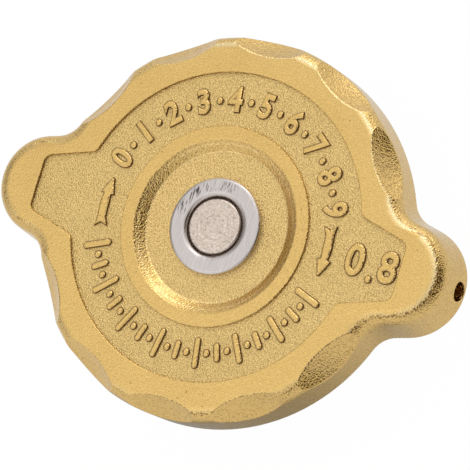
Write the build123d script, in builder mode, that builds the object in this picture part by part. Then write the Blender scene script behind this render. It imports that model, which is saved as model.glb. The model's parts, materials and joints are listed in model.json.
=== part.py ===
from build123d import *
import os
from math import cos, hypot, radians, sin, sqrt, tan

# A bayonet pressure cap for the filler neck of a radiator, in millimetres.
# +Z runs up the rivet, out of the face that the hand turns. +X runs along the two finger lugs,
# towards the lug with the hole. The cap stands on its valve seal, whose underside is z = 0.

os.makedirs("parts", exist_ok=True)

# Cover: a thick casting with two finger lugs
cover_r = 29.9
cover_wall = 2.5
cover_plate = 3.2
cover_height = 8.35
cover_edge_r = 2.2
cover_foot_r = 0.5
lug_reach = 39.3
lug_tip_r = 8.6
lug_taper = 14.0
lug_draft = 6.5
lug_root_r = 4.5

# Face of the cover, measured from the sunk field
rim_width = 5.9
rim_step = 0.45
lug_land = 7.9
pocket_tip_half = 4.4
pocket_taper = 16.0
pocket_corner_r = 1.4
pocket_neck_r = 1.2
ring_r = 15.6
ring_width = 2.1
ring_step = 0.4
dish_r = 11.7
dish_depth = 0.75
step_edge_r = 0.15
dish_lip_r = 0.5
dish_root_r = 0.8

# Finger scallops round the top edge, five on each side
scallop_count = 5
scallop_angle = 28.8
scallop_ball_r = 18.0
scallop_reach = 2.9
scallop_depth = 2.8
scallop_edge_r = 0.3

# Hole in the end of one lug
lug_hole_r = 1.5
lug_hole_depth = 6.0
lug_hole_drop = 5.6

# Rivet and the cup washer under its head
rivet_r = 2.5
rivet_head_r = 4.32
rivet_head_edge_r = 0.35
rivet_head = 1.15
rivet_peen_r = 4.2
rivet_peen = 1.0
washer_r = 7.5
washer_sheet = 0.9
washer_cup_gap = 0.2
washer_cup_depth = 1.2
washer_roll_r = 0.45
washer_edge_r = 0.2

# Bayonet shell: pressed steel inside the cover, with two hooks
shell_sheet = 1.0
shell_gap = 0.2
shell_bend_r = 1.6
shell_drop = 5.9
hook_reach = 3.8
hook_width = 15.0
hook_drop = 7.5
hook_corner_r = 1.5
key_width = 6.0
key_gap = 0.15
key_bite = 0.2

# Upper seal and the spring disc that presses it on the neck
valve_reach = 15.0
gasket_r = 21.5
gasket_sheet = 1.3
gasket_edge_r = 0.3
disc_r = 22.0
disc_sheet = 0.4
disc_dish = 0.5
disc_slope = 2.5
disc_bend_gap = 0.3

# Guide shell that hangs on the rivet and holds the pressure valve
guide_r = 13.5
guide_sheet = 0.8
guide_bend_r = 1.4
guide_lip = 1.55
window_count = 4
window_width = 9.0
window_sill = 1.6
window_head = 2.2
window_corner_r = 1.0
backing_r = 5.0
backing_sheet = 1.0
end_play = 0.1

# Pressure valve: spring cup, seal plate and seal, joined by an eyelet
valve_lift = 3.0
lift_margin = 0.5
valve_gap = 0.15
cup_sheet = 0.8
cup_bend_r = 1.2
seal_r = 13.4
seal_height = 3.0
seal_band = 4.2
seal_web = 0.8
seal_edge_r = 0.4
plate_sheet = 0.8
plate_rim_drop = 1.2
eyelet_bore_r = 2.3
eyelet_wall = 0.7
eyelet_flange_r = 6.4
eyelet_curl_r = 4.4
eyelet_sheet = 0.5

# Vacuum valve: opens downwards through the eyelet
vacuum_drop = 1.5
vacuum_disc_r = 6.2
vacuum_sheet = 0.6
vacuum_seal_r = 5.6
vacuum_seal_sheet = 0.6
stem_r = 1.0
stem_head_r = 1.7
stem_head = 0.5
clip_r = 3.8
clip_sheet = 0.5

# Springs
main_wire_r = 0.9
main_turns = 4.3
vacuum_wire_r = 0.2
vacuum_turns = 4.5
wire_margin = 0.45
closed_margin = 0.2

# Clearances
seat_gap = 0.05
turn_gap = 0.06

# Heights, from the valve seal up
plate_top = seal_height + plate_sheet
cup_floor = plate_top + cup_sheet
guide_foot = plate_top + valve_lift + lift_margin
lip_top = guide_foot + guide_sheet
cup_rim = lip_top + cup_sheet
gasket_top = valve_reach + gasket_sheet
guide_top = gasket_top + disc_dish
guide_ceiling = guide_top - guide_sheet
backing_top = guide_ceiling - end_play
backing_foot = backing_top - backing_sheet
web_foot = guide_top + disc_sheet + end_play
web_top = web_foot + shell_sheet
field_z = web_top + cover_plate
rim_z = field_z + rim_step
cover_foot = rim_z - cover_height
ring_z = field_z + ring_step
dish_z = field_z - dish_depth
washer_top = dish_z + washer_sheet
washer_foot = dish_z - washer_cup_depth
washer_floor = washer_foot + washer_sheet
head_top = washer_floor + rivet_head
peen_foot = backing_foot - rivet_peen
shell_foot = web_top - shell_drop - shell_sheet
hook_foot = web_top - hook_drop - shell_sheet
web_z = seal_height - seal_web
eyelet_foot = web_z - eyelet_sheet
eyelet_top = cup_floor + eyelet_sheet
vacuum_seal_foot = eyelet_foot - vacuum_seal_sheet
vacuum_foot = vacuum_seal_foot - vacuum_sheet
clip_foot = eyelet_top + 2 * vacuum_wire_r * vacuum_turns + vacuum_drop + closed_margin
clip_top = clip_foot + clip_sheet
window_foot = lip_top + window_sill
window_height = guide_ceiling - window_head - window_foot
window_z = window_foot + window_height / 2

# Radii that follow from the fits
field_r = cover_r - rim_width
pocket_reach = lug_reach - lug_land
scallop_top_r = cover_r - scallop_reach
cavity_r = cover_r - cover_wall
shell_r = cavity_r - shell_gap
shell_bore_r = shell_r - shell_sheet
hook_tip_r = shell_bore_r - hook_reach
key_tip_r = shell_bore_r - key_bite
key_align = {1: (Align.CENTER, Align.MIN), -1: (Align.CENTER, Align.MAX)}
rivet_hole_r = rivet_r + seat_gap
swivel_hole_r = rivet_r + turn_gap
guide_bore_r = guide_r - guide_sheet
lip_r = guide_bore_r - guide_lip
cup_r = lip_r - valve_gap
cup_bore_r = cup_r - cup_sheet
cup_flange_r = guide_bore_r - valve_gap
eyelet_r = eyelet_bore_r + eyelet_wall
eyelet_hole_r = eyelet_r + seat_gap
washer_cup_r = rivet_head_r + washer_cup_gap + washer_sheet
washer_bore_r = rivet_head_r + washer_cup_gap
washer_hole_r = washer_cup_r + seat_gap
disc_flat_r = guide_r + disc_bend_gap
plate_r = seal_r + seat_gap + plate_sheet


def section(corners):
    """Draw a closed outline beside the Z axis. Each corner is a radius, a height and a fillet."""
    with BuildSketch(Plane.XZ) as outline:
        with BuildLine():
            FilletPolyline(
                *[(r, z) for r, z, fillet_r in corners],
                radius=[fillet_r for r, z, fillet_r in corners],
                close=True,
            )
        make_face()
    return outline.sketch


def coil(wire_r, coil_r, low, high, turns):
    """Wind a compression spring between two seats and grind its ends flat."""
    with BuildPart() as spring:
        with BuildLine():
            wire = Helix(pitch=(high - low) / turns, height=high - low, radius=coil_r, center=(0, 0, low))
        with BuildSketch(Plane(origin=wire @ 0, z_dir=wire % 0)):
            Circle(wire_r)
        sweep(is_frenet=True)
        with BuildSketch(Plane.XY.offset(low)):
            Circle(coil_r + 2 * wire_r)
        extrude(amount=high - low, mode=Mode.INTERSECT)
    return spring.part


# Lug outline: the flanks are tangent to the tip circle and spread towards the body
lug_centre_x = lug_reach - lug_tip_r
flank_x = lug_centre_x + lug_tip_r * sin(radians(lug_taper))
flank_y = lug_tip_r * cos(radians(lug_taper))
flank_slope = tan(radians(lug_taper))
flank_run = flank_x - field_r / 2
flank_root_y = flank_y + flank_run * flank_slope
pocket_root_half = pocket_tip_half + (pocket_reach - field_r / 2) * tan(radians(pocket_taper))

# The ball that cuts a scallop passes through its top edge and its lowest point on the wall
scallop_foot_z = field_z - scallop_depth
chord_r = (scallop_top_r + cover_r) / 2
chord_z = (rim_z + scallop_foot_z) / 2
chord = hypot(cover_r - scallop_top_r, rim_z - scallop_foot_z)
ball_stand = sqrt(scallop_ball_r**2 - (chord / 2) ** 2)
ball_ring_r = chord_r + ball_stand * (rim_z - scallop_foot_z) / chord
ball_z = chord_z + ball_stand * (cover_r - scallop_top_r) / chord
scallop_span = scallop_angle * (scallop_count - 1)
quarter_turn = 90.0

# Cover
with BuildPart() as cover:
    # Round body and two lugs with drafted sides, with hollow roots where they meet
    with BuildSketch(Plane.XY.offset(cover_foot)):
        Circle(cover_r)
    extrude(amount=cover_height)
    for side in (1, -1):
        with BuildSketch(Plane.XY.offset(cover_foot)):
            with Locations((side * lug_centre_x, 0)):
                Circle(lug_tip_r)
            with BuildLine():
                Polyline(
                    (side * flank_x, flank_y),
                    (side * field_r / 2, flank_root_y),
                    (side * field_r / 2, -flank_root_y),
                    (side * flank_x, -flank_y),
                    close=True,
                )
            make_face()
        extrude(amount=cover_height, taper=lug_draft)
    uprights = [e for e in cover.edges() if e.bounding_box().size.Z > cover_plate]
    roots = [e for e in uprights if abs(hypot(e.center().X, e.center().Y) - cover_r) < seat_gap]
    fillet(roots, radius=lug_root_r)
    fillet(cover.faces().sort_by(Axis.Z)[-1].edges(), radius=cover_edge_r)
    fillet(cover.faces().sort_by(Axis.Z)[0].edges(), radius=cover_foot_r)

    # Scallops
    for side in (1, -1):
        first = side * quarter_turn - scallop_span / 2
        with Locations((0, 0, ball_z)):
            with PolarLocations(ball_ring_r, scallop_count, first, scallop_span, endpoint=True):
                Sphere(scallop_ball_r, mode=Mode.SUBTRACT)
    hollows = cover.faces().filter_by(GeomType.SPHERE)
    fillet([edge for hollow in hollows for edge in hollow.edges()], radius=scallop_edge_r)

    # Sunk field, which runs out along both lugs, round the raised ring
    with BuildSketch(Plane.XY.offset(field_z)) as field_plan:
        Circle(field_r)
        with BuildLine():
            Polyline(
                (pocket_reach, pocket_tip_half),
                (field_r / 2, pocket_root_half),
                (-field_r / 2, pocket_root_half),
                (-pocket_reach, pocket_tip_half),
                (-pocket_reach, -pocket_tip_half),
                (-field_r / 2, -pocket_root_half),
                (field_r / 2, -pocket_root_half),
                (pocket_reach, -pocket_tip_half),
                close=True,
            )
        make_face()
        necks = [v for v in field_plan.vertices() if field_r / 2 < abs(v.X) < field_r]
        fillet(necks, radius=pocket_neck_r)
        ends = field_plan.vertices().group_by(Axis.X)
        fillet(ends[0] + ends[-1], radius=pocket_corner_r)
        Circle(ring_r, mode=Mode.SUBTRACT)
    extrude(amount=cover_height, mode=Mode.SUBTRACT)

    # Top of the ring, the dish inside it, the seat of the washer's cup and the rivet hole
    face_cut = section([
        (0, rim_z + cover_height, 0),
        (ring_r + seat_gap, rim_z + cover_height, 0),
        (ring_r + seat_gap, ring_z, 0),
        (ring_r - ring_width, ring_z, dish_lip_r),
        (dish_r, dish_z, dish_root_r),
        (washer_hole_r, dish_z, 0),
        (washer_hole_r, washer_foot, 0),
        (rivet_hole_r, washer_foot, 0),
        (rivet_hole_r, cover_foot, 0),
        (0, cover_foot, 0),
    ])
    revolve(face_cut, axis=Axis.Z, mode=Mode.SUBTRACT)
    field_edge = cover.faces().sort_by(Axis.Z)[-1].inner_wires()[0].edges()
    ring_edge = cover.edges().filter_by(GeomType.CIRCLE).sort_by_distance((0, ring_r, ring_z))[0]
    fillet(field_edge + [ring_edge], radius=step_edge_r)

    # Cavity under the face, with two ribs that key the bayonet shell
    with BuildSketch(Plane.XY.offset(cover_foot)):
        Circle(cavity_r)
        for side in (1, -1):
            with Locations((0, side * key_tip_r)):
                Rectangle(key_width, cover_r, align=key_align[side], mode=Mode.SUBTRACT)
    extrude(amount=web_top - cover_foot, mode=Mode.SUBTRACT)

    # Blind hole in the end of one lug
    with BuildSketch(Plane.YZ.offset(lug_reach)):
        with Locations((0, field_z - lug_hole_drop)):
            Circle(lug_hole_r)
    extrude(amount=-lug_hole_depth, mode=Mode.SUBTRACT)
cover.part.label = "cover"
export_step(cover.part, "parts/cover.step")

# Cup washer: its cup is pressed down into the cover and takes the rivet's head
with BuildPart() as cup_washer:
    profile = section([
        (washer_r, dish_z, 0),
        (washer_r, washer_top, washer_edge_r),
        (washer_bore_r, washer_top, washer_roll_r),
        (washer_bore_r, washer_floor, 0),
        (rivet_hole_r, washer_floor, 0),
        (rivet_hole_r, washer_foot, 0),
        (washer_cup_r, washer_foot, washer_edge_r),
        (washer_cup_r, dish_z, 0),
    ])
    revolve(profile, axis=Axis.Z)
cup_washer.part.label = "cup_washer"
export_step(cup_washer.part, "parts/cup_washer.step")

# Rivet, with its lower end peened over the backing washer
with BuildPart() as rivet:
    profile = section([
        (0, head_top, 0),
        (rivet_head_r, head_top, rivet_head_edge_r),
        (rivet_head_r, washer_floor, 0),
        (rivet_r, washer_floor, 0),
        (rivet_r, backing_foot, 0),
        (rivet_peen_r, backing_foot, 0),
        (rivet_peen_r, peen_foot, rivet_peen * 0.8),
        (0, peen_foot, 0),
    ])
    revolve(profile, axis=Axis.Z)
rivet.part.label = "rivet"
export_step(rivet.part, "parts/rivet.step")

# Bayonet shell: web, skirt and two hooks that run under the cams of the filler neck
with BuildPart() as bayonet_shell:
    profile = section([
        (rivet_hole_r, web_top, 0),
        (shell_r, web_top, shell_bend_r),
        (shell_r, hook_foot, shell_bend_r),
        (hook_tip_r, hook_foot, 0),
        (hook_tip_r, hook_foot + shell_sheet, 0),
        (shell_bore_r, hook_foot + shell_sheet, shell_bend_r - shell_sheet),
        (shell_bore_r, web_foot, shell_bend_r - shell_sheet),
        (rivet_hole_r, web_foot, 0),
    ])
    revolve(profile, axis=Axis.Z)
    with BuildSketch(Plane.XY.offset(hook_foot)):
        Circle(cover_r)
        Rectangle(2 * cover_r, hook_width, mode=Mode.SUBTRACT)
    extrude(amount=shell_foot - hook_foot, mode=Mode.SUBTRACT)
    with BuildSketch(Plane.XY.offset(hook_foot)):
        for side in (1, -1):
            with Locations((0, side * (key_tip_r - key_gap))):
                Rectangle(key_width + 2 * key_gap, cover_r, align=key_align[side])
    extrude(amount=web_top - hook_foot, mode=Mode.SUBTRACT)
    uprights = bayonet_shell.edges().filter_by(Axis.Z).filter_by(lambda e: e.center().Z < shell_foot)
    tips = [e for e in uprights if hypot(e.center().X, e.center().Y) < shell_bore_r - hook_corner_r]
    fillet(tips, radius=hook_corner_r)
bayonet_shell.part.label = "bayonet_shell"
export_step(bayonet_shell.part, "parts/bayonet_shell.step")

# Backing washer that carries the guide shell on the peened end
with BuildPart() as backing_washer:
    profile = section([
        (rivet_hole_r, backing_foot, 0),
        (backing_r, backing_foot, 0),
        (backing_r, backing_top, 0),
        (rivet_hole_r, backing_top, 0),
    ])
    revolve(profile, axis=Axis.Z)
backing_washer.part.label = "backing_washer"
export_step(backing_washer.part, "parts/backing_washer.step")

# Spring disc: dished sheet whose rim bears on the gasket
with BuildPart() as spring_disc:
    profile = section([
        (swivel_hole_r, guide_top, 0),
        (disc_flat_r, guide_top, 0),
        (disc_flat_r + disc_slope, gasket_top, 0),
        (disc_r, gasket_top, 0),
        (disc_r, gasket_top + disc_sheet, 0),
        (disc_flat_r + disc_slope, gasket_top + disc_sheet, 0),
        (disc_flat_r, guide_top + disc_sheet, 0),
        (swivel_hole_r, guide_top + disc_sheet, 0),
    ])
    revolve(profile, axis=Axis.Z)
spring_disc.part.label = "spring_disc"
export_step(spring_disc.part, "parts/spring_disc.step")

# Upper gasket, stretched over the guide shell
with BuildPart() as upper_gasket:
    profile = section([
        (guide_r + seat_gap, valve_reach, 0),
        (gasket_r, valve_reach, gasket_edge_r),
        (gasket_r, gasket_top, gasket_edge_r),
        (guide_r + seat_gap, gasket_top, 0),
    ])
    revolve(profile, axis=Axis.Z)
upper_gasket.part.label = "upper_gasket"
export_step(upper_gasket.part, "parts/upper_gasket.step")

# Guide shell: bell with windows, and a lip turned in under the spring cup
with BuildPart() as guide_shell:
    profile = section([
        (swivel_hole_r, guide_top, 0),
        (guide_r, guide_top, guide_bend_r),
        (guide_r, guide_foot, guide_sheet),
        (lip_r, guide_foot, 0),
        (lip_r, lip_top, 0),
        (guide_bore_r, lip_top, 0),
        (guide_bore_r, guide_ceiling, guide_bend_r - guide_sheet),
        (swivel_hole_r, guide_ceiling, 0),
    ])
    revolve(profile, axis=Axis.Z)
    for window in range(window_count):
        turn = radians(360 / window_count * (window + 0.5))
        outward = (cos(turn), sin(turn), 0)
        sideways = (-sin(turn), cos(turn), 0)
        with BuildSketch(Plane(origin=(0, 0, window_z), x_dir=sideways, z_dir=outward)):
            RectangleRounded(window_width, window_height, window_corner_r)
        extrude(amount=guide_r + guide_sheet, mode=Mode.SUBTRACT)
guide_shell.part.label = "guide_shell"
export_step(guide_shell.part, "parts/guide_shell.step")

# Main spring, between the guide shell's ceiling and the spring cup
with BuildPart() as main_spring:
    add(coil(main_wire_r, cup_bore_r - wire_margin - main_wire_r, cup_floor, guide_ceiling, main_turns))
main_spring.part.label = "main_spring"
export_step(main_spring.part, "parts/main_spring.step")

# Spring cup: its rim rests on the guide shell's lip and lifts off it under pressure
with BuildPart() as spring_cup:
    profile = section([
        (eyelet_hole_r, plate_top, 0),
        (cup_r, plate_top, cup_bend_r),
        (cup_r, lip_top, 0),
        (cup_flange_r, lip_top, 0),
        (cup_flange_r, cup_rim, 0),
        (cup_bore_r, cup_rim, cup_bend_r),
        (cup_bore_r, cup_floor, cup_bend_r - cup_sheet),
        (eyelet_hole_r, cup_floor, 0),
    ])
    revolve(profile, axis=Axis.Z)
spring_cup.part.label = "spring_cup"
export_step(spring_cup.part, "parts/spring_cup.step")

# Seal plate: shallow pan over the rubber seal
with BuildPart() as seal_plate:
    profile = section([
        (eyelet_hole_r, plate_top, 0),
        (plate_r, plate_top, plate_sheet),
        (plate_r, seal_height - plate_rim_drop, 0),
        (plate_r - plate_sheet, seal_height - plate_rim_drop, 0),
        (plate_r - plate_sheet, seal_height, 0),
        (eyelet_hole_r, seal_height, 0),
    ])
    revolve(profile, axis=Axis.Z)
seal_plate.part.label = "seal_plate"
export_step(seal_plate.part, "parts/seal_plate.step")

# Valve seal: rubber ring that closes the seat at the foot of the neck
with BuildPart() as valve_seal:
    profile = section([
        (eyelet_hole_r, seal_height, 0),
        (seal_r, seal_height, 0),
        (seal_r, 0, seal_edge_r),
        (seal_r - seal_band, 0, seal_edge_r),
        (seal_r - seal_band, web_z, seal_edge_r),
        (eyelet_hole_r, web_z, 0),
    ])
    revolve(profile, axis=Axis.Z)
valve_seal.part.label = "valve_seal"
export_step(valve_seal.part, "parts/valve_seal.step")

# Eyelet that clamps the seal, its plate and the spring cup together
with BuildPart() as eyelet:
    profile = section([
        (eyelet_bore_r, eyelet_foot, 0),
        (eyelet_flange_r, eyelet_foot, 0),
        (eyelet_flange_r, web_z, 0),
        (eyelet_r, web_z, 0),
        (eyelet_r, cup_floor, 0),
        (eyelet_curl_r, cup_floor, 0),
        (eyelet_curl_r, eyelet_top, eyelet_sheet / 2),
        (eyelet_bore_r, eyelet_top, eyelet_sheet / 2),
    ])
    revolve(profile, axis=Axis.Z)
eyelet.part.label = "eyelet"
export_step(eyelet.part, "parts/eyelet.step")

# Vacuum valve: disc and stem in one, with a headed end
with BuildPart() as vacuum_valve:
    profile = section([
        (0, vacuum_foot, 0),
        (vacuum_disc_r, vacuum_foot, vacuum_sheet / 2),
        (vacuum_disc_r, vacuum_seal_foot, 0),
        (stem_r, vacuum_seal_foot, 0),
        (stem_r, clip_top, 0),
        (stem_head_r, clip_top, 0),
        (stem_head_r, clip_top + stem_head, stem_head / 2),
        (0, clip_top + stem_head, 0),
    ])
    revolve(profile, axis=Axis.Z)
vacuum_valve.part.label = "vacuum_valve"
export_step(vacuum_valve.part, "parts/vacuum_valve.step")

# Rubber ring on the vacuum valve, which closes the eyelet from below
with BuildPart() as vacuum_seal:
    profile = section([
        (stem_r + seat_gap, vacuum_seal_foot, 0),
        (vacuum_seal_r, vacuum_seal_foot, 0),
        (vacuum_seal_r, eyelet_foot, 0),
        (stem_r + seat_gap, eyelet_foot, 0),
    ])
    revolve(profile, axis=Axis.Z)
vacuum_seal.part.label = "vacuum_seal"
export_step(vacuum_seal.part, "parts/vacuum_seal.step")

# Vacuum spring, between the eyelet and the clip on the stem
with BuildPart() as vacuum_spring:
    add(coil(vacuum_wire_r, clip_r - wire_margin - vacuum_wire_r, eyelet_top, clip_foot, vacuum_turns))
vacuum_spring.part.label = "vacuum_spring"
export_step(vacuum_spring.part, "parts/vacuum_spring.step")

# Clip that holds the vacuum spring on the stem
with BuildPart() as spring_clip:
    profile = section([
        (stem_r + seat_gap, clip_foot, 0),
        (clip_r, clip_foot, 0),
        (clip_r, clip_top, clip_sheet / 2),
        (stem_r + seat_gap, clip_top, 0),
    ])
    revolve(profile, axis=Axis.Z)
spring_clip.part.label = "spring_clip"
export_step(spring_clip.part, "parts/spring_clip.step")
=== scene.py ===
# %% [markdown]
# # A bayonet pressure cap, dressed for its portrait
# The solids of this cap come out of CAD as one fixed frame: cover, rivet, washers, shell, valves
# and springs. This lesson gives them their looks. It adds what is too small or too curly for the
# solids, which is the raised marks on the face and the closed ends of the springs. Then it paints
# every piece, sets a bright table under the cap and places the camera.

# %% Load the frame
import json
import math

import bpy
from mathutils import Matrix, Vector


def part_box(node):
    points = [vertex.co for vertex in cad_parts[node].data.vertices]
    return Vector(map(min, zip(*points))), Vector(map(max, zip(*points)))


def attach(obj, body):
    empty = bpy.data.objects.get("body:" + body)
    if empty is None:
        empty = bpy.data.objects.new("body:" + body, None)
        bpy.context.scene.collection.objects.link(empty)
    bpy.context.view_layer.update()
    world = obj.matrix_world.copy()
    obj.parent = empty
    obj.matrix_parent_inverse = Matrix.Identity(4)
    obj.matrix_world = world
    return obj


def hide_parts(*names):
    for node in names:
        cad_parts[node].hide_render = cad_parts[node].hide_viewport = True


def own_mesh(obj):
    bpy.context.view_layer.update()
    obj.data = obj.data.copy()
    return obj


MM = 0.001

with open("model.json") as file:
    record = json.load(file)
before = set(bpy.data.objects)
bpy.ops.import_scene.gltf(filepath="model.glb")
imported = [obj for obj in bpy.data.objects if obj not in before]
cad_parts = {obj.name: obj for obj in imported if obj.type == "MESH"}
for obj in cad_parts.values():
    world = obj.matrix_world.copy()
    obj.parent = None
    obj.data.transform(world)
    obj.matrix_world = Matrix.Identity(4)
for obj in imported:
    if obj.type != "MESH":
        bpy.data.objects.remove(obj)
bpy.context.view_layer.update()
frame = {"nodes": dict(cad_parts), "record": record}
solids = frame["nodes"]

# %% [markdown]
# ## Levels to work from
# The marks stand on the sunk field of the face, and the finishes change from one level of the
# face to the next: matt in the field and in the dish, smoother on the rim. So the levels are read
# first. They are measured down from the top of the cover, which is the rim, in the same steps as
# in the solids.

# %% Levels of the face
RIM_STEP = 0.45
DISH_DEPTH = 0.75

rim_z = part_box("cover")[1][2] / MM
field_z = rim_z - RIM_STEP
dish_z = field_z - DISH_DEPTH
print("rim", round(rim_z, 2), "field", round(field_z, 2), "dish", round(dish_z, 2))

# %% [markdown]
# ## Marks as outlines
# The cast face carries marks that stand 0.4 mm proud. They have flat tops and sloping sides,
# because the tool that cut the mould was tapered. In Blender a flat curve does that well: its
# outline is filled, made thick and bevelled. The bevel grows outwards, so a mark is drawn as wide
# as its top and the slope is added round it. The half below the field is dropped, as it would
# only lie inside the solid, and what is left sinks a little into it. Round each mark runs a low
# foot, where the cast corner is a little filled. It is the same outline, bevelled wider and
# pressed almost flat.

# %% Cast a mark from outlines
SINK = 0.05
SLOPE = 0.27
MARK_HEIGHT = 0.4
FOOT_WIDTH = 0.13
FOOT_HEIGHT = 0.08


def polar(radius, degrees):
    """A point on the face, in mm, from its distance to the rivet and its direction."""
    angle = math.radians(degrees)
    return Vector((radius * math.cos(angle), radius * math.sin(angle)))


def relief(curve, place, extrude, bevel, press):
    """Corners and faces of a bevelled flat curve, pressed in height and moved to its place."""
    curve.extrude = extrude
    curve.bevel_depth = bevel
    curve.bevel_resolution = 1
    shape = bpy.data.objects.new("mark", curve)
    bpy.context.scene.collection.objects.link(shape)
    evaluated = shape.evaluated_get(bpy.context.evaluated_depsgraph_get())
    mesh = bpy.data.meshes.new_from_object(evaluated)
    bpy.data.objects.remove(shape)
    spots = [v.co.copy() for v in mesh.vertices]
    faces = [tuple(p.vertices) for p in mesh.polygons if max(spots[i].z for i in p.vertices) > 0]
    bpy.data.meshes.remove(mesh)
    used = sorted({i for face in faces for i in face})
    new_index = {old: new for new, old in enumerate(used)}
    pressed = [Vector((spots[i].x, spots[i].y, max(spots[i].z * press, -SINK))) for i in used]
    return [place @ spot for spot in pressed], [tuple(new_index[i] for i in face) for face in faces]


def cast(curve, place):
    """A mark and its foot, each as corners and faces in mm."""
    width = SLOPE + FOOT_WIDTH
    foot = relief(curve, place, 0.0, width, FOOT_HEIGHT / width)
    return [relief(curve, place, MARK_HEIGHT - SLOPE, SLOPE, 1.0), foot]


def on_face(x=0.0, y=0.0, lean=0.0):
    """The matrix that sets a flat mark on the field at x, y, turned by lean degrees."""
    return Matrix.Translation((x, y, field_z)) @ Matrix.Rotation(math.radians(lean), 4, "Z")


def outline(points):
    """Relief of one closed outline, drawn where it stands."""
    curve = bpy.data.curves.new("outline", "CURVE")
    curve.dimensions = "2D"
    curve.fill_mode = "BOTH"
    spline = curve.splines.new("POLY")
    spline.points.add(len(points) - 1)
    for knot, point in zip(spline.points, points):
        knot.co = (point[0], point[1], 0, 1)
    spline.use_cyclic_u = True
    return cast(curve, on_face())


print("relief", MARK_HEIGHT, "mm high with slopes", SLOPE, "mm wide")

# %% [markdown]
# ## Scale bars and dots
# The two arcs of the face hold a plain scale, as on a dial: bars and dots below the rivet,
# numerals with dots between them above it. Every bar points at the rivet. A bar is a capsule,
# which is two half circles joined, and a dot is a very short one.

# %% Lay out the lower scale
MARKS = []
SCALE_LOW, SCALE_HIGH = 17.7, 21.4
SHORTER = 0.9
STROKE = 0.24
DOT_RADIUS, DOT_LENGTH, DOT_HALF = 19.5, 0.1, 0.26
LOWER_ARC = (201, 339, 29)
ROUND_STEPS = 7


def directions(first, last, count):
    """Evenly spread directions from first to last, in degrees."""
    return [first + (last - first) * k / (count - 1) for k in range(count)]


def bar(direction, low, high, half=STROKE):
    """A bar that points at the rivet, with round ends."""
    points = []
    for radius, start in ((high, direction - 90), (low, direction + 90)):
        centre = polar(radius, direction)
        turns = directions(start, start + 180, ROUND_STEPS)
        points += [centre + polar(half, turn) for turn in turns]
    return outline(points)


def dot(direction):
    """A dot in the middle of the scale."""
    return bar(direction, DOT_RADIUS, DOT_RADIUS + DOT_LENGTH, DOT_HALF)


for k, direction in enumerate(directions(*LOWER_ARC)):
    if k % 2:
        MARKS += dot(direction)
    elif k % 4:
        MARKS += bar(direction, SCALE_LOW + SHORTER, SCALE_HIGH - SHORTER)
    else:
        MARKS += bar(direction, SCALE_LOW, SCALE_HIGH)
print("lower scale:", len(MARKS) // 2, "marks")

# %% [markdown]
# ## Turning arrows
# Two curved arrows, one at each side, show that the cap turns clockwise. The outline follows an
# arc round the rivet, out along one edge and back along the other, with the half width given at a
# few stops. The tail is forked: its middle point lies a little ahead of its two corners.

# %% Turning arrows
ARROW_RADIUS = 19.15
ARROW_SPAN = 20.4
ARROW_STEPS = 24
ARROW_TAILS = (191.0, 11.0)
FORK = 0.05
HALF_WIDTHS = (
    (0.0, 0.66), (0.12, 0.46), (0.45, 0.50), (0.69, 0.36),
    (0.71, 0.80), (0.85, 0.44), (0.97, 0.10), (1.0, 0.03),
)


def half_width(share):
    """Half width of the arrow at a share of its length."""
    for (s0, w0), (s1, w1) in zip(HALF_WIDTHS, HALF_WIDTHS[1:]):
        if share <= s1:
            return w0 + (w1 - w0) * (share - s0) / (s1 - s0)
    return HALF_WIDTHS[-1][1]


def arrow(tail):
    """An arrow that starts at a direction and turns clockwise round the rivet."""
    even = {k / ARROW_STEPS for k in range(ARROW_STEPS + 1)}
    shares = sorted(even | {share for share, width in HALF_WIDTHS})
    outer = [polar(ARROW_RADIUS + half_width(s), tail - ARROW_SPAN * s) for s in shares]
    inner = [polar(ARROW_RADIUS - half_width(s), tail - ARROW_SPAN * s) for s in shares]
    fork = polar(ARROW_RADIUS, tail - ARROW_SPAN * FORK)
    return outline(list(reversed(outer)) + [fork] + inner)


for tail in ARROW_TAILS:
    MARKS += arrow(tail)
print("marks so far:", len(MARKS) // 2)

# %% [markdown]
# ## Numerals
# The upper scale has numerals from 0 to 9 and the lug carries a pressure figure. Blender's own
# font has plain round numerals. A font curve takes the same relief as an outline, and the slopes
# make its strokes as bold as those of the cast figures. Each numeral leans with its direction.

# %% Numerals on the upper scale and on the lug
CAP_SHARE = 0.73
UPPER_ARC = (160, 20, 19)
NUMERAL_RADIUS, NUMERAL_HEIGHT, NUMERAL_SQUEEZE = 19.55, 3.75, 0.88
LUG_HEIGHT, LUG_SQUEEZE = 4.7, 0.94
LUG_FIGURES = (("0", 24.0), ("8", 29.5))
POINT_SPOT, POINT_RADIUS, POINT_STEPS = (26.85, -2.15), 0.3, 15


def figure(text, x, y, lean, height, squeeze):
    """Relief of a numeral whose middle is at x, y, turned by lean degrees."""
    curve = bpy.data.curves.new("figure", "FONT")
    curve.body = text
    curve.size = height / CAP_SHARE
    curve.align_x = "CENTER"
    curve.align_y = "CENTER"
    return cast(curve, on_face(x, y, lean) @ Matrix.Diagonal((squeeze, 1, 1, 1)))


for k, direction in enumerate(directions(*UPPER_ARC)):
    if k % 2:
        MARKS += dot(direction)
    else:
        x, y = polar(NUMERAL_RADIUS, direction)
        MARKS += figure(str(k // 2), x, y, direction - 90, NUMERAL_HEIGHT, NUMERAL_SQUEEZE)
for text, x in LUG_FIGURES:
    MARKS += figure(text, x, 0, 0, LUG_HEIGHT, LUG_SQUEEZE)
turns = [360 * k / POINT_STEPS for k in range(POINT_STEPS)]
MARKS += outline([Vector(POINT_SPOT) + polar(POINT_RADIUS, turn) for turn in turns])
print("marks in all:", len(MARKS) // 2)

# %% [markdown]
# ## One piece of raised marks
# The marks are part of the casting. They ride on the cover's body as one mesh, which takes its
# finish from the cover's slot. Smooth shading with a limit on the angle keeps the flat tops crisp.

# %% Build the raised marks
CRISP_ANGLE = 40


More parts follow.
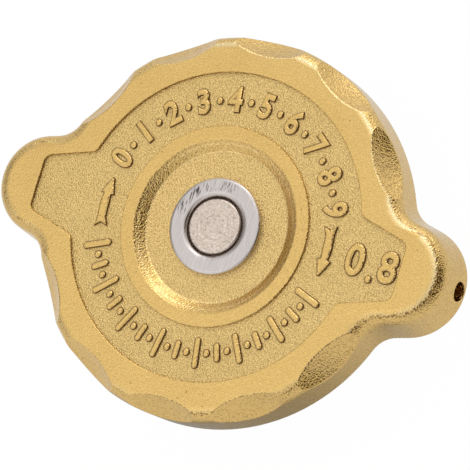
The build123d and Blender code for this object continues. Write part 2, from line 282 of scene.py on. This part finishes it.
def build(name, corners, faces):
    """A smooth mesh object from corners in mm."""
    mesh = bpy.data.meshes.new(name)
    mesh.from_pydata([Vector(c) * MM for c in corners], [], faces)
    mesh.validate()
    piece = bpy.data.objects.new(name, mesh)
    bpy.context.scene.collection.objects.link(piece)
    for polygon in mesh.polygons:
        polygon.use_smooth = True
    return piece


all_corners, all_faces = [], []
for corners, faces in MARKS:
    start = len(all_corners)
    all_corners += corners
    all_faces += [tuple(start + i for i in face) for face in faces]
marks = build("raised_marks", all_corners, all_faces)
marks.data.set_sharp_from_angle(angle=math.radians(CRISP_ANGLE))
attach(marks, "cap_body")
print("raised marks:", len(marks.data.polygons), "faces")

# %% [markdown]
# ## Coil springs with closed ends
# Under the cover a strong spring holds the pressure valve on its seat, and a light one holds the
# vacuum valve. Real springs close up over their last turn and are ground flat, which the plain
# solids leave out. A tube is swept along a helix whose rise fades out at both ends, and the wire
# is cut flat where it would pass its seat.

# %% Wind the springs
CLOSED_TURNS = 0.9
GROUND_SHARE = 0.9
ROUND_WIRE = 20
STEPS_PER_TURN = 48


def spring(name, wire_r, coil_r, low, high, turns):
    """A compression spring with closed, ground ends between two heights, in mm."""
    steps = int(turns * STEPS_PER_TURN)
    rises = []
    for k in range(steps + 1):
        turn = turns * k / steps
        ease = min(max(min(turn, turns - turn) / CLOSED_TURNS, 0.0), 1.0)
        rises.append(ease * ease * (3 - 2 * ease))
    seat = wire_r * GROUND_SHARE
    per_rise = (high - low - 2 * seat) / sum(rises)
    level, corners, faces = low + seat, [], []
    for k in range(steps + 1):
        angle = 2 * math.pi * turns * k / steps
        out = Vector((math.cos(angle), math.sin(angle), 0))
        for j in range(ROUND_WIRE):
            a = 2 * math.pi * j / ROUND_WIRE
            spot = out * (coil_r + wire_r * math.cos(a))
            z = min(max(level + wire_r * math.sin(a), low), high)
            corners.append((spot.x, spot.y, z))
        level += per_rise * rises[k]
    for k in range(steps):
        for j in range(ROUND_WIRE):
            a, b = k * ROUND_WIRE + j, k * ROUND_WIRE + (j + 1) % ROUND_WIRE
            faces.append((a, b, b + ROUND_WIRE, a + ROUND_WIRE))
    faces.append(tuple(reversed(range(ROUND_WIRE))))
    faces.append(tuple(range(len(corners) - ROUND_WIRE, len(corners))))
    return build(name, corners, faces)


def fit_spring(name, node, wire_r, turns):
    """Wind a spring that stands in for a CAD spring, between the same seats."""
    low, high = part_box(node)
    reach = (high[0] - low[0]) / 2 / MM
    piece = spring(name, wire_r, reach - wire_r, low[2] / MM, high[2] / MM, turns)
    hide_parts(node)
    print(name, "from", round(low[2] / MM, 2), "to", round(high[2] / MM, 2), "reach", round(reach, 2))
    return piece


pressure_spring = fit_spring("closed_pressure_spring", "main_spring", wire_r=0.9, turns=5.3)
light_spring = fit_spring("closed_light_spring", "vacuum_spring", wire_r=0.2, turns=5.5)

# %% [markdown]
# ## Springs on their bodies
# Each spring stands on one body and gets a mesh of its own.


def yield_to(piece, body):
    """The spring rides on one body, with a mesh of its own."""
    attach(piece, body)
    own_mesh(piece)


yield_to(pressure_spring, "valve_guide")
yield_to(light_spring, "pressure_valve")

# %% [markdown]
# ## Writing shader maths as sums
# A finish is a small formula over the surface. The Signal class wraps one output of a node, and
# its operators lay down the Math nodes, so that masks can be added, multiplied or subtracted
# from one as if they were numbers. Python takes the reflected forms, such as __radd__, when the
# plain number stands first.

# %% Signals


class Signal:
    """A number that varies over the surface."""

    def __init__(self, finish, socket):
        self.finish = finish
        self.socket = socket

    def math(self, operation, first, second=None):
        """Lay down one Math node."""
        values = {i: v for i, v in enumerate((first, second)) if v is not None}
        return self.finish.signal("ShaderNodeMath", {"operation": operation}, values)

    def __add__(self, other):
        return self.math("ADD", self, other)

    def __radd__(self, other):
        return self.math("ADD", other, self)

    def __sub__(self, other):
        return self.math("SUBTRACT", self, other)

    def __rsub__(self, other):
        return self.math("SUBTRACT", other, self)

    def __mul__(self, other):
        return self.math("MULTIPLY", self, other)

    def __rmul__(self, other):
        return self.math("MULTIPLY", other, self)

    def __truediv__(self, other):
        return self.math("DIVIDE", self, other)

    def __or__(self, other):
        """Either mask, whichever is higher."""
        return self.math("MAXIMUM", self, other)

    def __abs__(self):
        return self.math("ABSOLUTE", self)


print("class Signal ready")

# %% [markdown]
# ## One method for every other node
# All other nodes come from one method of Finish. The methods after it are the few that are
# needed again and again: a mix of colours, soft steps, the place of a point, noise and bump.

# %% Finishes


class Finish:
    """A node tree, with one method that lays down any node."""

    def __init__(self, owner):
        """The owner is a material or a world."""
        owner.use_nodes = True
        self.owner = owner
        self.tree = owner.node_tree
        self.tree.nodes.clear()

    def feed(self, socket, value):
        """Link a socket to a signal or to another socket, or give it a plain value."""
        source = value.socket if isinstance(value, Signal) else value
        if isinstance(source, bpy.types.NodeSocket):
            self.tree.links.new(source, socket)
        else:
            socket.default_value = source

    def node(self, kind, settings=None, values=None):
        """Settings come first, because some of them change the sockets. Then values and links."""
        made = self.tree.nodes.new(kind)
        for name, value in (settings or {}).items():
            setattr(made, name, value)
        for key, value in (values or {}).items():
            self.feed(made.inputs[key], value)
        return made

    def signal(self, kind, settings=None, values=None, output=0):
        """The node's output as a signal."""
        return Signal(self, self.node(kind, settings, values).outputs[output])

    def mix(self, factor, first, second):
        """A colour between two colours."""
        mixer = self.node("ShaderNodeMix", {"data_type": "RGBA"})
        for key, value in {"Factor": factor, "A": first, "B": second}.items():
            self.feed(next(s for s in mixer.inputs if s.enabled and s.name == key), value)
        return next(s for s in mixer.outputs if s.enabled)

    def rise(self, signal, low, high):
        """Runs smoothly from 0 at low to 1 at high."""
        values = {"Value": signal, "From Min": low, "From Max": high}
        return self.signal("ShaderNodeMapRange", {"interpolation_type": "SMOOTHSTEP"}, values)

    def fall(self, signal, low, high):
        """Runs smoothly from 1 at low to 0 at high."""
        return 1 - self.rise(signal, low, high)

    def below(self, signal, limit, blur):
        """1 below the limit, with a blurred end."""
        return self.fall(signal, limit - blur, limit + blur)

    def between(self, signal, low, high, blur):
        """1 between low and high, with blurred ends."""
        return self.rise(signal, low - blur, low + blur) * self.below(signal, high, blur)

    def place(self):
        """The point on the piece in mm, whole and in its three parts."""
        point = self.node("ShaderNodeTexCoord").outputs["Object"]
        values = {0: point, "Scale": 1 / MM}
        scaled = self.node("ShaderNodeVectorMath", {"operation": "SCALE"}, values).outputs[0]
        parts = self.node("ShaderNodeSeparateXYZ", None, {0: scaled})
        return scaled, [Signal(self, part) for part in parts.outputs]

    def away(self, x, y):
        """Distance from the point that x and y are measured from."""
        return self.signal("ShaderNodeMath", {"operation": "SQRT"}, {0: x * x + y * y})

    def noise(self, point, scale, detail=2.0, roughness=0.5):
        """Soft noise from 0 to 1, with scale in cells per mm."""
        values = {"Vector": point, "Scale": scale, "Detail": detail, "Roughness": roughness}
        return self.signal("ShaderNodeTexNoise", None, values)

    def strokes(self, point, per_mm, turn=0.0, detail=2.0, roughness=0.6):
        """Noise drawn out into strokes. Its cells per mm are given along X, Y and Z."""
        values = {"Vector": point, "Rotation": (0, 0, turn), "Scale": per_mm}
        drawn = self.node("ShaderNodeMapping", None, values).outputs[0]
        return self.noise(drawn, 1.0, detail, roughness)

    def bump(self, height, unit=MM):
        """A normal from a height in the given unit."""
        values = {"Strength": 1.0, "Distance": unit, "Height": height}
        return self.node("ShaderNodeBump", None, values).outputs[0]


print("class Finish ready")

# %% [markdown]
# ## Colours and shaders
# Colours are written as a picture shows them and turned into the linear values of the shader.
# Every finish of the cap ends in one shader.

# %% Colours and shaders


def colour(red, green, blue):
    """A colour written in the values that a picture shows, from 0 to 255."""
    shares = [v / 255 for v in (red, green, blue)]
    linear = [s / 12.92 if s <= 0.04045 else ((s + 0.055) / 1.055) ** 2.4 for s in shares]
    return tuple(linear) + (1.0,)


def finish(name):
    """A new material as a Finish."""
    return Finish(bpy.data.materials.new(name))


def surface(made, values):
    """Close a finish with its shader."""
    shader = made.node("ShaderNodeBsdfPrincipled", None, values)
    made.node("ShaderNodeOutputMaterial", None, {"Surface": shader.outputs[0]})
    return made.owner


print("colour check:", [round(v, 3) for v in colour(220, 185, 112)])

# %% [markdown]
# ## Masks on the cover
# The cover is a casting with a gold finish. The sunk field and the dish are matt with a fine sand
# grain, while the rim, the ring and the edges were polished before they were plated. One material
# does it all, and masks tell it where it is. The level of the point tells field and dish from rim
# and ring. The upward part of the normal is 1 on the flats and 0 on upright walls, which tells
# flats, edges and walls apart. The direction from the rivet tells the sides of the cap apart.

# %% Masks on the cover
LEVEL_REACH, FIELD_BLUR, DISH_BLUR = 0.1, 0.03, 0.05
FIELD_RADIUS, RADIUS_BLUR = 25.5, 0.3
LUG_HALF, HALF_BLUR = 6.35, 0.1
LUG_END, END_BLUR = 33.0, 0.4
EDGE_NORMAL, WALL_NORMAL = (0.92, 0.995), (0.1, 0.4)


def sunk_part(made, x, y, radius):
    """1 over the sunk field, which is a disc with an arm along each lug."""
    arms = made.below(abs(y), LUG_HALF, HALF_BLUR) * made.below(abs(x), LUG_END, END_BLUR)
    return made.below(radius, FIELD_RADIUS, RADIUS_BLUR) | arms


def on_level(made, z, level, blur):
    """1 where the surface lies on a level of the face."""
    return made.between(z, level - LEVEL_REACH, level + LEVEL_REACH, blur)


def side(made, x, y, radius, azimuth, low, high):
    """Rises towards one side of the cap. Low and high are cosines from that side's direction."""
    ahead = x * math.cos(math.radians(azimuth)) + y * math.sin(math.radians(azimuth))
    return made.rise(ahead / radius, low, high)


print("field to", FIELD_RADIUS, "mm and arms to", LUG_END, "mm from the rivet")

# %% [markdown]
# ## Gold finish
# The polished edges keep an orange peel that breaks their highlights into specks, a little
# smoother at the bottom of the picture. The hollows of the peel and of the sand grain are
# darkened as painted shade. The flats of rim and ring show faint streaks along the lugs, where
# they were sanded, and a few pits. Where the rim turns into its edge a pale line is painted as a
# highlight, most at the upper right, and at the lower right a dark speckled band in the peel
# under that line is painted as a reflection of dark surroundings. Every step and every mark has
# a thin brown line of painted shade at its foot, and the pits are painted darker too.
#
# Heights are in mm. What ends in SHARE or HOLLOW says how strongly a tone covers the one below
# it. What ends in LOW gives the two values of the noise between which a hollow fades out. A side
# has its direction in degrees and two cosines, and a band its two limits on the normal and
# their blur.

# %% Relief and tones of the gold
GRAIN_CELL, GRAIN_LOW = 0.25, (0.38, 0.58)
SAND_HEIGHT, RIM_HEIGHT = 0.19, 0.05
PEEL_CELL, PEEL_LOW, PEEL_HEIGHT = 0.27, (0.36, 0.52), 0.145
STREAKS_PER_MM, STREAK_LOW, STREAK_HEIGHT = (0.5, 7.0, 1.0), (0.3, 0.5), 0.02
PITS_PER_MM, PIT_LIMITS, PIT_DEPTH = 1.7, (0.83, 0.86), 0.05
CLOUDS_PER_MM = 0.12

SMOOTH_SIDE, SMOOTHED = (-105, 0.5, 0.85), 0.3
# The next lines place a painted highlight line and a painted dark reflection on the edges, and
# painted shade at the foot of steps and marks.
HIGHLIGHT_SIDE, HIGHLIGHT_ELSEWHERE = (60, 0.2, 0.7), 0.2
DARK_REFLECTION_SIDE, DARK_REFLECTION_LOW = (-40, 0.3, 0.8), (0.40, 0.56)
HIGHLIGHT_BAND, DARK_REFLECTION_BAND = (0.9, 0.985, 0.02), (0.8, 0.93, 0.04)
FOOT_START, FOOT_TOP, FOOT_BLUR = (0.004, 0.012), 0.29, 0.02
RING_EDGE = (15.0, 16.0)

RIM_TONES = (colour(231, 194, 119), colour(222, 185, 113))
FIELD_TONES = (colour(244, 211, 139), colour(236, 203, 133))
DISH_SHARE, DISH_TONE = 0.5, colour(248, 214, 144)
# The hollows of grain and peel are darkened with painted shade.
RIM_HOLLOW, SAND_HOLLOW, PEEL_HOLLOW, HOLLOW_SHADE_TONE = 0.14, 0.18, 0.3, colour(128, 90, 36)
STREAK_SHARE, STREAK_TONE = 0.12, colour(150, 108, 48)
# Tones for a painted highlight line, a painted dark reflection, and painted shade at the feet and in
# the pits.
HIGHLIGHT_SHARE, HIGHLIGHT_TONE = 0.55, colour(255, 239, 190)
DARK_REFLECTION_SHARE, DARK_REFLECTION_TONE = 0.7, colour(96, 62, 24)
FOOT_SHADE_SHARE, PIT_SHARE, FOOT_AND_PIT_SHADE_TONE = 0.8, 0.4, colour(90, 56, 17)

ROUGH, ROUGH_MATT, ROUGH_FLAT, ROUGH_CLOUD = 0.08, 0.17, 0.13, 0.04
COAT, COAT_WALL, COAT_EDGE, COAT_ROUGH = 0.12, 0.2, 0.42, 0.1
GLANCE_TINT = (1.0, 0.93, 0.78, 1.0)
print("sand", SAND_HEIGHT, "mm high and peel", PEEL_HEIGHT, "mm high")

# %% Paint the cover


def gold():
    """The finish of the cover and of its raised marks."""
    made = finish("cover gold")
    point, (x, y, z) = made.place()
    radius = made.away(x, y)
    normal = made.node("ShaderNodeTexCoord").outputs["Normal"]
    facing = made.signal("ShaderNodeSeparateXYZ", None, {0: normal}, "Z")
    edge = made.fall(facing, *EDGE_NORMAL)
    wall = made.fall(facing, *WALL_NORMAL)
    sunk = sunk_part(made, x, y, radius)
    in_dish = on_level(made, z, dish_z, DISH_BLUR) * sunk
    matt = on_level(made, z, field_z, FIELD_BLUR) * sunk + in_dish
    flat = (1 - matt) * (1 - edge)

    grain = made.noise(point, 1 / GRAIN_CELL, 1.5, 0.6)
    peel = made.noise(point, 1 / PEEL_CELL, 1.0)
    cloud = made.noise(point, CLOUDS_PER_MM)
    streak = made.strokes(point, STREAKS_PER_MM)
    pits = made.rise(made.noise(point, PITS_PER_MM, 0.0), *PIT_LIMITS) * (1 - matt)
    smooth = SMOOTHED * side(made, x, y, radius, *SMOOTH_SIDE)
    height = (grain - 0.5) * (RIM_HEIGHT + (SAND_HEIGHT - RIM_HEIGHT) * matt) * (1 - edge)
    height = height + (peel - 0.5) * PEEL_HEIGHT * edge * (1 - smooth)
    height = height + (streak - 0.5) * STREAK_HEIGHT * flat - PIT_DEPTH * pits

    base = made.mix(matt, made.mix(cloud, *RIM_TONES), made.mix(cloud, *FIELD_TONES))
    base = made.mix(in_dish * DISH_SHARE, base, DISH_TONE)
    # Painted shade darkens the hollows of the grain and of the peel.
    hollow_shade = made.fall(grain, *GRAIN_LOW) * (RIM_HOLLOW + SAND_HOLLOW * matt) * (1 - edge)
    hollow_shade = hollow_shade + made.fall(peel, *PEEL_LOW) * PEEL_HOLLOW * edge
    base = made.mix(hollow_shade, base, HOLLOW_SHADE_TONE)
    base = made.mix(made.fall(streak, *STREAK_LOW) * STREAK_SHARE * flat, base, STREAK_TONE)

    # A painted highlight: a pale line where the rim turns into its edge, strongest at the upper
    # right.
    highlight_side = side(made, x, y, radius, *HIGHLIGHT_SIDE)
    highlight_side = HIGHLIGHT_ELSEWHERE + (1 - HIGHLIGHT_ELSEWHERE) * highlight_side
    edge_highlight = made.between(facing, *HIGHLIGHT_BAND) * highlight_side * (1 - sunk)
    base = made.mix(edge_highlight * HIGHLIGHT_SHARE, base, HIGHLIGHT_TONE)
    # A painted reflection: a dark speckled band in the peel on the lower right edges.
    dark_reflection = made.between(facing, *DARK_REFLECTION_BAND) * made.fall(peel, *DARK_REFLECTION_LOW) * (1 - sunk)
    dark_reflection = dark_reflection * side(made, x, y, radius, *DARK_REFLECTION_SIDE)
    base = made.mix(dark_reflection * DARK_REFLECTION_SHARE, base, DARK_REFLECTION_TONE)
    # Painted shade: a thin brown line at the foot of every step and mark, and darker pits.
    foot = made.rise(z, *[field_z + start for start in FOOT_START])
    foot = foot * made.below(z, field_z + FOOT_TOP, FOOT_BLUR) * made.rise(radius, *RING_EDGE) * sunk
    base = made.mix(foot * FOOT_SHADE_SHARE + pits * PIT_SHARE, base, FOOT_AND_PIT_SHADE_TONE)

    rough = ROUGH + ROUGH_MATT * matt + ROUGH_FLAT * (1 - edge) + ROUGH_CLOUD * (cloud - 0.5)
    return surface(made, {
        "Base Color": base, "Metallic": 1.0, "Roughness": rough, "Normal": made.bump(height),
        "Coat Weight": COAT + COAT_WALL * wall + COAT_EDGE * edge * (1 - wall),
        "Coat Roughness": COAT_ROUGH, "Specular Tint": GLANCE_TINT,
    })


GOLD = gold()
print("painted:", GOLD.name, "with", len(GOLD.node_tree.nodes), "nodes")

# %% [markdown]
# ## Washer
# The washer is stainless sheet, brushed one way, with dark scuffs where the riveting tool
# slipped. Its bump also rounds the way down into the cup and out over the rim.

# %% Paint the washer
LINES_PER_MM, BRUSH_HEIGHT = (6.0, 0.35, 1.0), 0.02
WASHER_TONES = (colour(184, 177, 174), colour(226, 218, 213))
SCUFFS_PER_MM, SCUFF_TURN, SCUFF_LIMITS = (7.0, 0.6, 1.0), 0.9, (0.57, 0.66)
SCUFF_ROUND = (math.radians(75), math.radians(172), 0.1)
SCUFF_ACROSS = (5.6, 7.0, 0.2)
SCUFF_SHARE, SCUFF_TONE = 0.9, colour(50, 43, 42)
SCUFF_DEPTH, SCUFF_DULL = 0.8, 0.8
CUP_BEND, CUP_HEIGHT = (4.1, 5.4), 0.5
RIM_BEND, RIM_DROP = (7.0, 7.5), 0.12


def brushed_washer():
    """Steel brushed along Y, with a scuffed sector."""
    made = finish("washer steel")
    point, (x, y, z) = made.place()
    radius = made.away(x, y)
    lines = made.strokes(point, LINES_PER_MM)
    turn = made.signal("ShaderNodeMath", {"operation": "ARCTAN2"}, {0: y, 1: x})
    slipped = made.between(turn, *SCUFF_ROUND) * made.between(radius, *SCUFF_ACROSS)
    scratches = made.strokes(point, SCUFFS_PER_MM, SCUFF_TURN, 1.0, 0.5)
    scuff = made.rise(scratches, *SCUFF_LIMITS) * slipped
    base = made.mix(lines, *WASHER_TONES)
    base = made.mix(scuff * SCUFF_SHARE, base, SCUFF_TONE)
    bends = made.rise(radius, *CUP_BEND) * CUP_HEIGHT - made.rise(radius, *RIM_BEND) * RIM_DROP
    height = bends + BRUSH_HEIGHT * (lines - SCUFF_DEPTH * scuff)
    return surface(made, {
        "Base Color": base, "Metallic": 1 - SCUFF_DULL * scuff, "Roughness": 0.22 + 0.1 * lines,
        "Normal": made.bump(height),
    })


WASHER = brushed_washer()
print("painted:", WASHER.name)

# %% [markdown]
# ## Rivet
# The rivet head was turned, so its lines run in rings. It is a little warmer than the washer and
# mottled with dull and bright spots.

# %% Paint the rivet
RINGS_PER_MM, RING_WANDER, RING_DRIFT = 4.0, 1.2, 0.25
TURNED_HEIGHT, MOTTLE_HEIGHT = 0.028, 1.2
RIVET_TONES = (colour(180, 164, 151), colour(244, 229, 215))
DULL_LIMITS, DULL_SHARE, DULL_TONE = (0.52, 0.68), 0.5, colour(150, 134, 121)
SPECK_LIMITS, SPECK_SHARE, SPECK_TONE = (0.56, 0.72), 0.6, colour(255, 246, 236)


def turned_rivet():
    """Steel turned in rings."""
    made = finish("rivet steel")
    point, (x, y, z) = made.place()
    across = made.away(x, y) * RINGS_PER_MM + made.noise(point, 0.5) * RING_WANDER
    values = {"X": across, "Y": x * RING_DRIFT, "Z": y * RING_DRIFT}
    rings = made.noise(made.node("ShaderNodeCombineXYZ", None, values).outputs[0], 1.0, 2.0, 0.55)
    mottle = made.noise(point, 1.9, 2.0, 0.65)
    specks = made.noise(point, 3.2, 1.0)
    base = made.mix(rings, *RIVET_TONES)
    base = made.mix(made.rise(mottle, *DULL_LIMITS) * DULL_SHARE, base, DULL_TONE)
    base = made.mix(made.rise(specks, *SPECK_LIMITS) * SPECK_SHARE, base, SPECK_TONE)
    return surface(made, {
        "Base Color": base, "Metallic": 1.0, "Roughness": 0.34 + 0.08 * mottle,
        "Normal": made.bump(rings + MOTTLE_HEIGHT * mottle, TURNED_HEIGHT * MM),
    })


RIVET = turned_rivet()
print("painted:", RIVET.name)

# %% [markdown]
# ## Metals and rubber of the valve side
# The pressings under the cover are bright plated steel with a slight unevenness, the springs are
# drawn wire, the eyelet and the vacuum valve are turned brass, and the seals are matt moulded
# rubber with a bloom. The metals differ in few values, so one function paints them all.

# %% Paint the valve side
METAL_GRAIN = 0.004
RUBBER_GRAIN = 0.01
RUBBER_TONES = (colour(26, 26, 27), colour(48, 47, 46))


def plain_metal(name, dark, light, rough, grain_cell):
    """A metal with soft clouds and a fine grain."""
    made = finish(name)
    point = made.place()[0]
    cloud = made.noise(point, 0.25, 3.0, 0.55)
    grain = made.noise(point, 1 / grain_cell)
    return surface(made, {
        "Base Color": made.mix(cloud, dark, light), "Metallic": 1.0,
        "Roughness": rough + 0.1 * cloud, "Normal": made.bump(grain, METAL_GRAIN * MM),
    })


def moulded_rubber():
    """A matt black with a pale bloom."""
    made = finish("seal rubber")
    point = made.place()[0]
    bloom = made.noise(point, 0.6, 3.0, 0.6)
    grain = made.noise(point, 8.0)
    return surface(made, {
        "Base Color": made.mix(bloom, *RUBBER_TONES), "Roughness": 0.6 + 0.15 * bloom,
        "Normal": made.bump(grain, RUBBER_GRAIN * MM),
    })


PLATED = plain_metal("plated steel", colour(196, 194, 188), colour(218, 216, 210), 0.22, 0.5)
SPRING = plain_metal("spring steel", colour(150, 148, 146), colour(182, 180, 178), 0.28, 0.25)
BRASS = plain_metal("valve brass", colour(186, 152, 88), colour(208, 174, 104), 0.26, 0.3)
RUBBER = moulded_rubber()
print("painted:", [material.name for material in (PLATED, SPRING, BRASS, RUBBER)])

# %% [markdown]
# ## Finishes on their pieces
# The record says which slot each solid has. The marks and the springs, which were built here,
# take the finish of the slot that they were given.

# %% Hand out the finishes
FINISHES = {
    "cover_gold": GOLD, "washer_steel": WASHER, "rivet_steel": RIVET, "plated_steel": PLATED,
    "spring_steel": SPRING, "seal_rubber": RUBBER, "valve_brass": BRASS,
}
slot_of = {part["node"]: part["material_slot"] for part in frame["record"]["subparts"]}
for name, solid in solids.items():
    for i in range(len(solid.data.materials)):
        solid.data.materials[i] = FINISHES[slot_of[name]]
added = ((marks, "cover_gold"), (pressure_spring, "spring_steel"), (light_spring, "spring_steel"))
for piece, slot in added:
    piece.data.materials.append(FINISHES[slot])
print("painted solids:", len(solids), "and pieces:", len(added))

# %% [markdown]
# ## Table
# The cap stands on a white table. The camera sees it as a plain white that keeps a little of the
# cap's shadow. The metal mirrors it too, and there the table is as bright as the tent, but darker
# beside the cap on the side that the bright panels don't reach. From below the table is clear, so
# that the valves can be looked at.

# %% Set the table
TABLE_HALF = 3.0
WHITE_SHARE, WHITE_STRENGTH = 0.97, 1.01
MIRRORED_SHARE = 0.9
BRIGHT_TONE, SHADED_TONE = (0.84, 0.84, 0.84, 1), (0.05, 0.05, 0.05, 1)
MATT_TONE = (0.9, 0.9, 0.9, 1)
WHITE = (1, 1, 1, 1)
SHADE_X, SHADE_Y = 4.0, -34.0
SHADE_INNER, SHADE_OUTER = 14.0, 48.0
SHADE_DEPTH = 0.64


def blend(made, factor, first, second):
    """One shader mixed with another."""
    return made.node("ShaderNodeMixShader", None, {0: factor, 1: first, 2: second}).outputs[0]


def table():
    """A white sheet that camera, mirrors and daylight each see in their own way."""
    half = TABLE_HALF / MM
    corners = [(-half, -half, 0), (half, -half, 0), (half, half, 0), (-half, half, 0)]
    piece = build("table", corners, [(0, 1, 2, 3)])
    made = finish("white table")
    point, (x, y, z) = made.place()
    far = made.away(x - SHADE_X, y - SHADE_Y)
    shade = SHADE_DEPTH * made.fall(far, SHADE_INNER, SHADE_OUTER)
    tone = made.mix(shade, BRIGHT_TONE, SHADED_TONE)
    plain = {"Color": WHITE, "Strength": WHITE_STRENGTH}
    matt = made.node("ShaderNodeBsdfDiffuse", None, {"Color": MATT_TONE}).outputs[0]
    white = made.node("ShaderNodeEmission", None, plain).outputs[0]
    mirror = made.node("ShaderNodeEmission", None, {"Color": tone}).outputs[0]
    clear = made.node("ShaderNodeBsdfTransparent").outputs[0]
    rays = made.node("ShaderNodeLightPath").outputs
    seen = Signal(made, rays["Is Camera Ray"])
    mirrored = Signal(made, rays["Is Glossy Ray"]) + Signal(made, rays["Is Transmission Ray"])
    below = made.node("ShaderNodeNewGeometry").outputs["Backfacing"]
    daylight = blend(made, seen * WHITE_SHARE, matt, white)
    above = blend(made, mirrored * MIRRORED_SHARE, daylight, mirror)
    made.node("ShaderNodeOutputMaterial", None, {"Surface": blend(made, below, above, clear)})
    piece.data.materials.append(made.owner)


table()
print("table laid, half width", TABLE_HALF, "m")

# %% [markdown]
# ## Light of a studio
# Polished metal shows what stands round it. Here that is a light tent with even light from all
# sides. As the picture has it, a strong lamp and two softer panels stand at the top, two faint
# panels at the left and at the lower left, and a dark patch at the bottom. A large warm dark gap
# fills the right, which is the side of the lens, and a dimmed patch lies low at the left. The
# world's own direction is compared with the direction of each panel, and each adds or takes
# away light with a soft edge. The camera itself sees a plain white behind everything.

# %% Light the world
EVEN_LIGHT = 0.84
# Each panel has azimuth, elevation, inner and outer angle in degrees, and the light it adds.
PANELS = (
    (-122, 52, 6, 26, 0.24),
    (-48, 50, 5, 17, -0.7),
    (-165, 66, 4, 15, 0.5),
    (99, 36, 3, 12, 2.8),
    (92, 12, 8, 26, 0.8),
    (105, 58, 6, 26, 0.45),
)
LENS_GAP, GAP_DEPTH, GAP_TONE = (9, 27, 27, 39), 0.96, (1.0, 0.66, 0.36, 1)
GAP_FOOT = (-0.02, 0.12)
FAR_SHADE, FAR_DEPTH = (176, 16, 12, 32), 0.55


def towards(azimuth, elevation):
    """Unit vector from a compass direction round Z and an angle above the table, in degrees."""
    a, e = math.radians(azimuth), math.radians(elevation)
    return (math.cos(a) * math.cos(e), math.sin(a) * math.cos(e), math.sin(e))


def panel(made, sky, azimuth, elevation, inner, outer):
    """1 inside a round panel of the sky, 0 outside, with a soft edge between two angles."""
    values = {0: sky, 1: towards(azimuth, elevation)}
    match = made.signal("ShaderNodeVectorMath", {"operation": "DOT_PRODUCT"}, values, "Value")
    return made.rise(match, math.cos(math.radians(outer)), math.cos(math.radians(inner)))


world = bpy.data.worlds.new("light tent")
bpy.context.scene.world = world
tent = Finish(world)
sky = tent.node("ShaderNodeTexCoord").outputs["Generated"]
height = tent.signal("ShaderNodeSeparateXYZ", None, {0: sky}, "Z")
light = EVEN_LIGHT
for *where, gain in PANELS:
    light = light + gain * panel(tent, sky, *where)
gap = panel(tent, sky, *LENS_GAP) * tent.rise(height, *GAP_FOOT)
light = light * (1 - GAP_DEPTH * gap) * (1 - FAR_DEPTH * panel(tent, sky, *FAR_SHADE))
lit = {"Color": tent.mix(gap, WHITE, GAP_TONE), "Strength": light}
glow = tent.node("ShaderNodeBackground", None, lit).outputs[0]
plain = {"Color": WHITE, "Strength": 1.0}
white = tent.node("ShaderNodeBackground", None, plain).outputs[0]
seen = tent.node("ShaderNodeLightPath").outputs["Is Camera Ray"]
tent.node("ShaderNodeOutputWorld", None, {"Surface": blend(tent, seen, glow, white)})
print("world lit by", len(PANELS), "panels")

# %% [markdown]
# ## Camera
# The lens looks down on the face from the side of the holed lug, from about half a metre. Its
# place follows from three angles: how far it leans off the rivet's axis, which way it leans, and
# how far the picture is turned. The long focal length keeps the circles almost true.

# %% Place the camera
LEAN = math.radians(26.98)
HEADING = math.radians(-12.52)
TURN = math.radians(28.11)
DISTANCE = 515.0
SHIFT_RIGHT, SHIFT_DOWN = 3.106, 1.335
LENS, SENSOR = 261.1, 36.0
NEAR, FAR = 0.01, 20.0

level = Vector((math.cos(HEADING), math.sin(HEADING), 0))
up = Vector((0, 0, 1))
toward = math.sin(LEAN) * level + math.cos(LEAN) * up
along = math.cos(LEAN) * level - math.sin(LEAN) * up
across = level.cross(up)
right = math.cos(TURN) * along - math.sin(TURN) * across
down = math.sin(TURN) * along + math.cos(TURN) * across
spot = Vector((0, 0, field_z)) + DISTANCE * toward + SHIFT_RIGHT * right + SHIFT_DOWN * down

lens = bpy.data.cameras.new("portrait")
lens.lens = LENS
lens.sensor_width = SENSOR
lens.clip_start = NEAR
lens.clip_end = FAR
camera = bpy.data.objects.new("portrait", lens)
bpy.context.scene.collection.objects.link(camera)
turned = Matrix((right, -down, toward)).transposed()
camera.matrix_world = Matrix.Translation(spot * MM) @ turned.to_4x4()
bpy.context.scene.camera = camera
bpy.context.scene.view_settings.view_transform = "Standard"
print("camera at", [round(v, 1) for v in spot], "mm")

# %% [markdown]
# ## Finish
# The scene is brought up to date.

# %% Bring the scene up to date
bpy.context.view_layer.update()
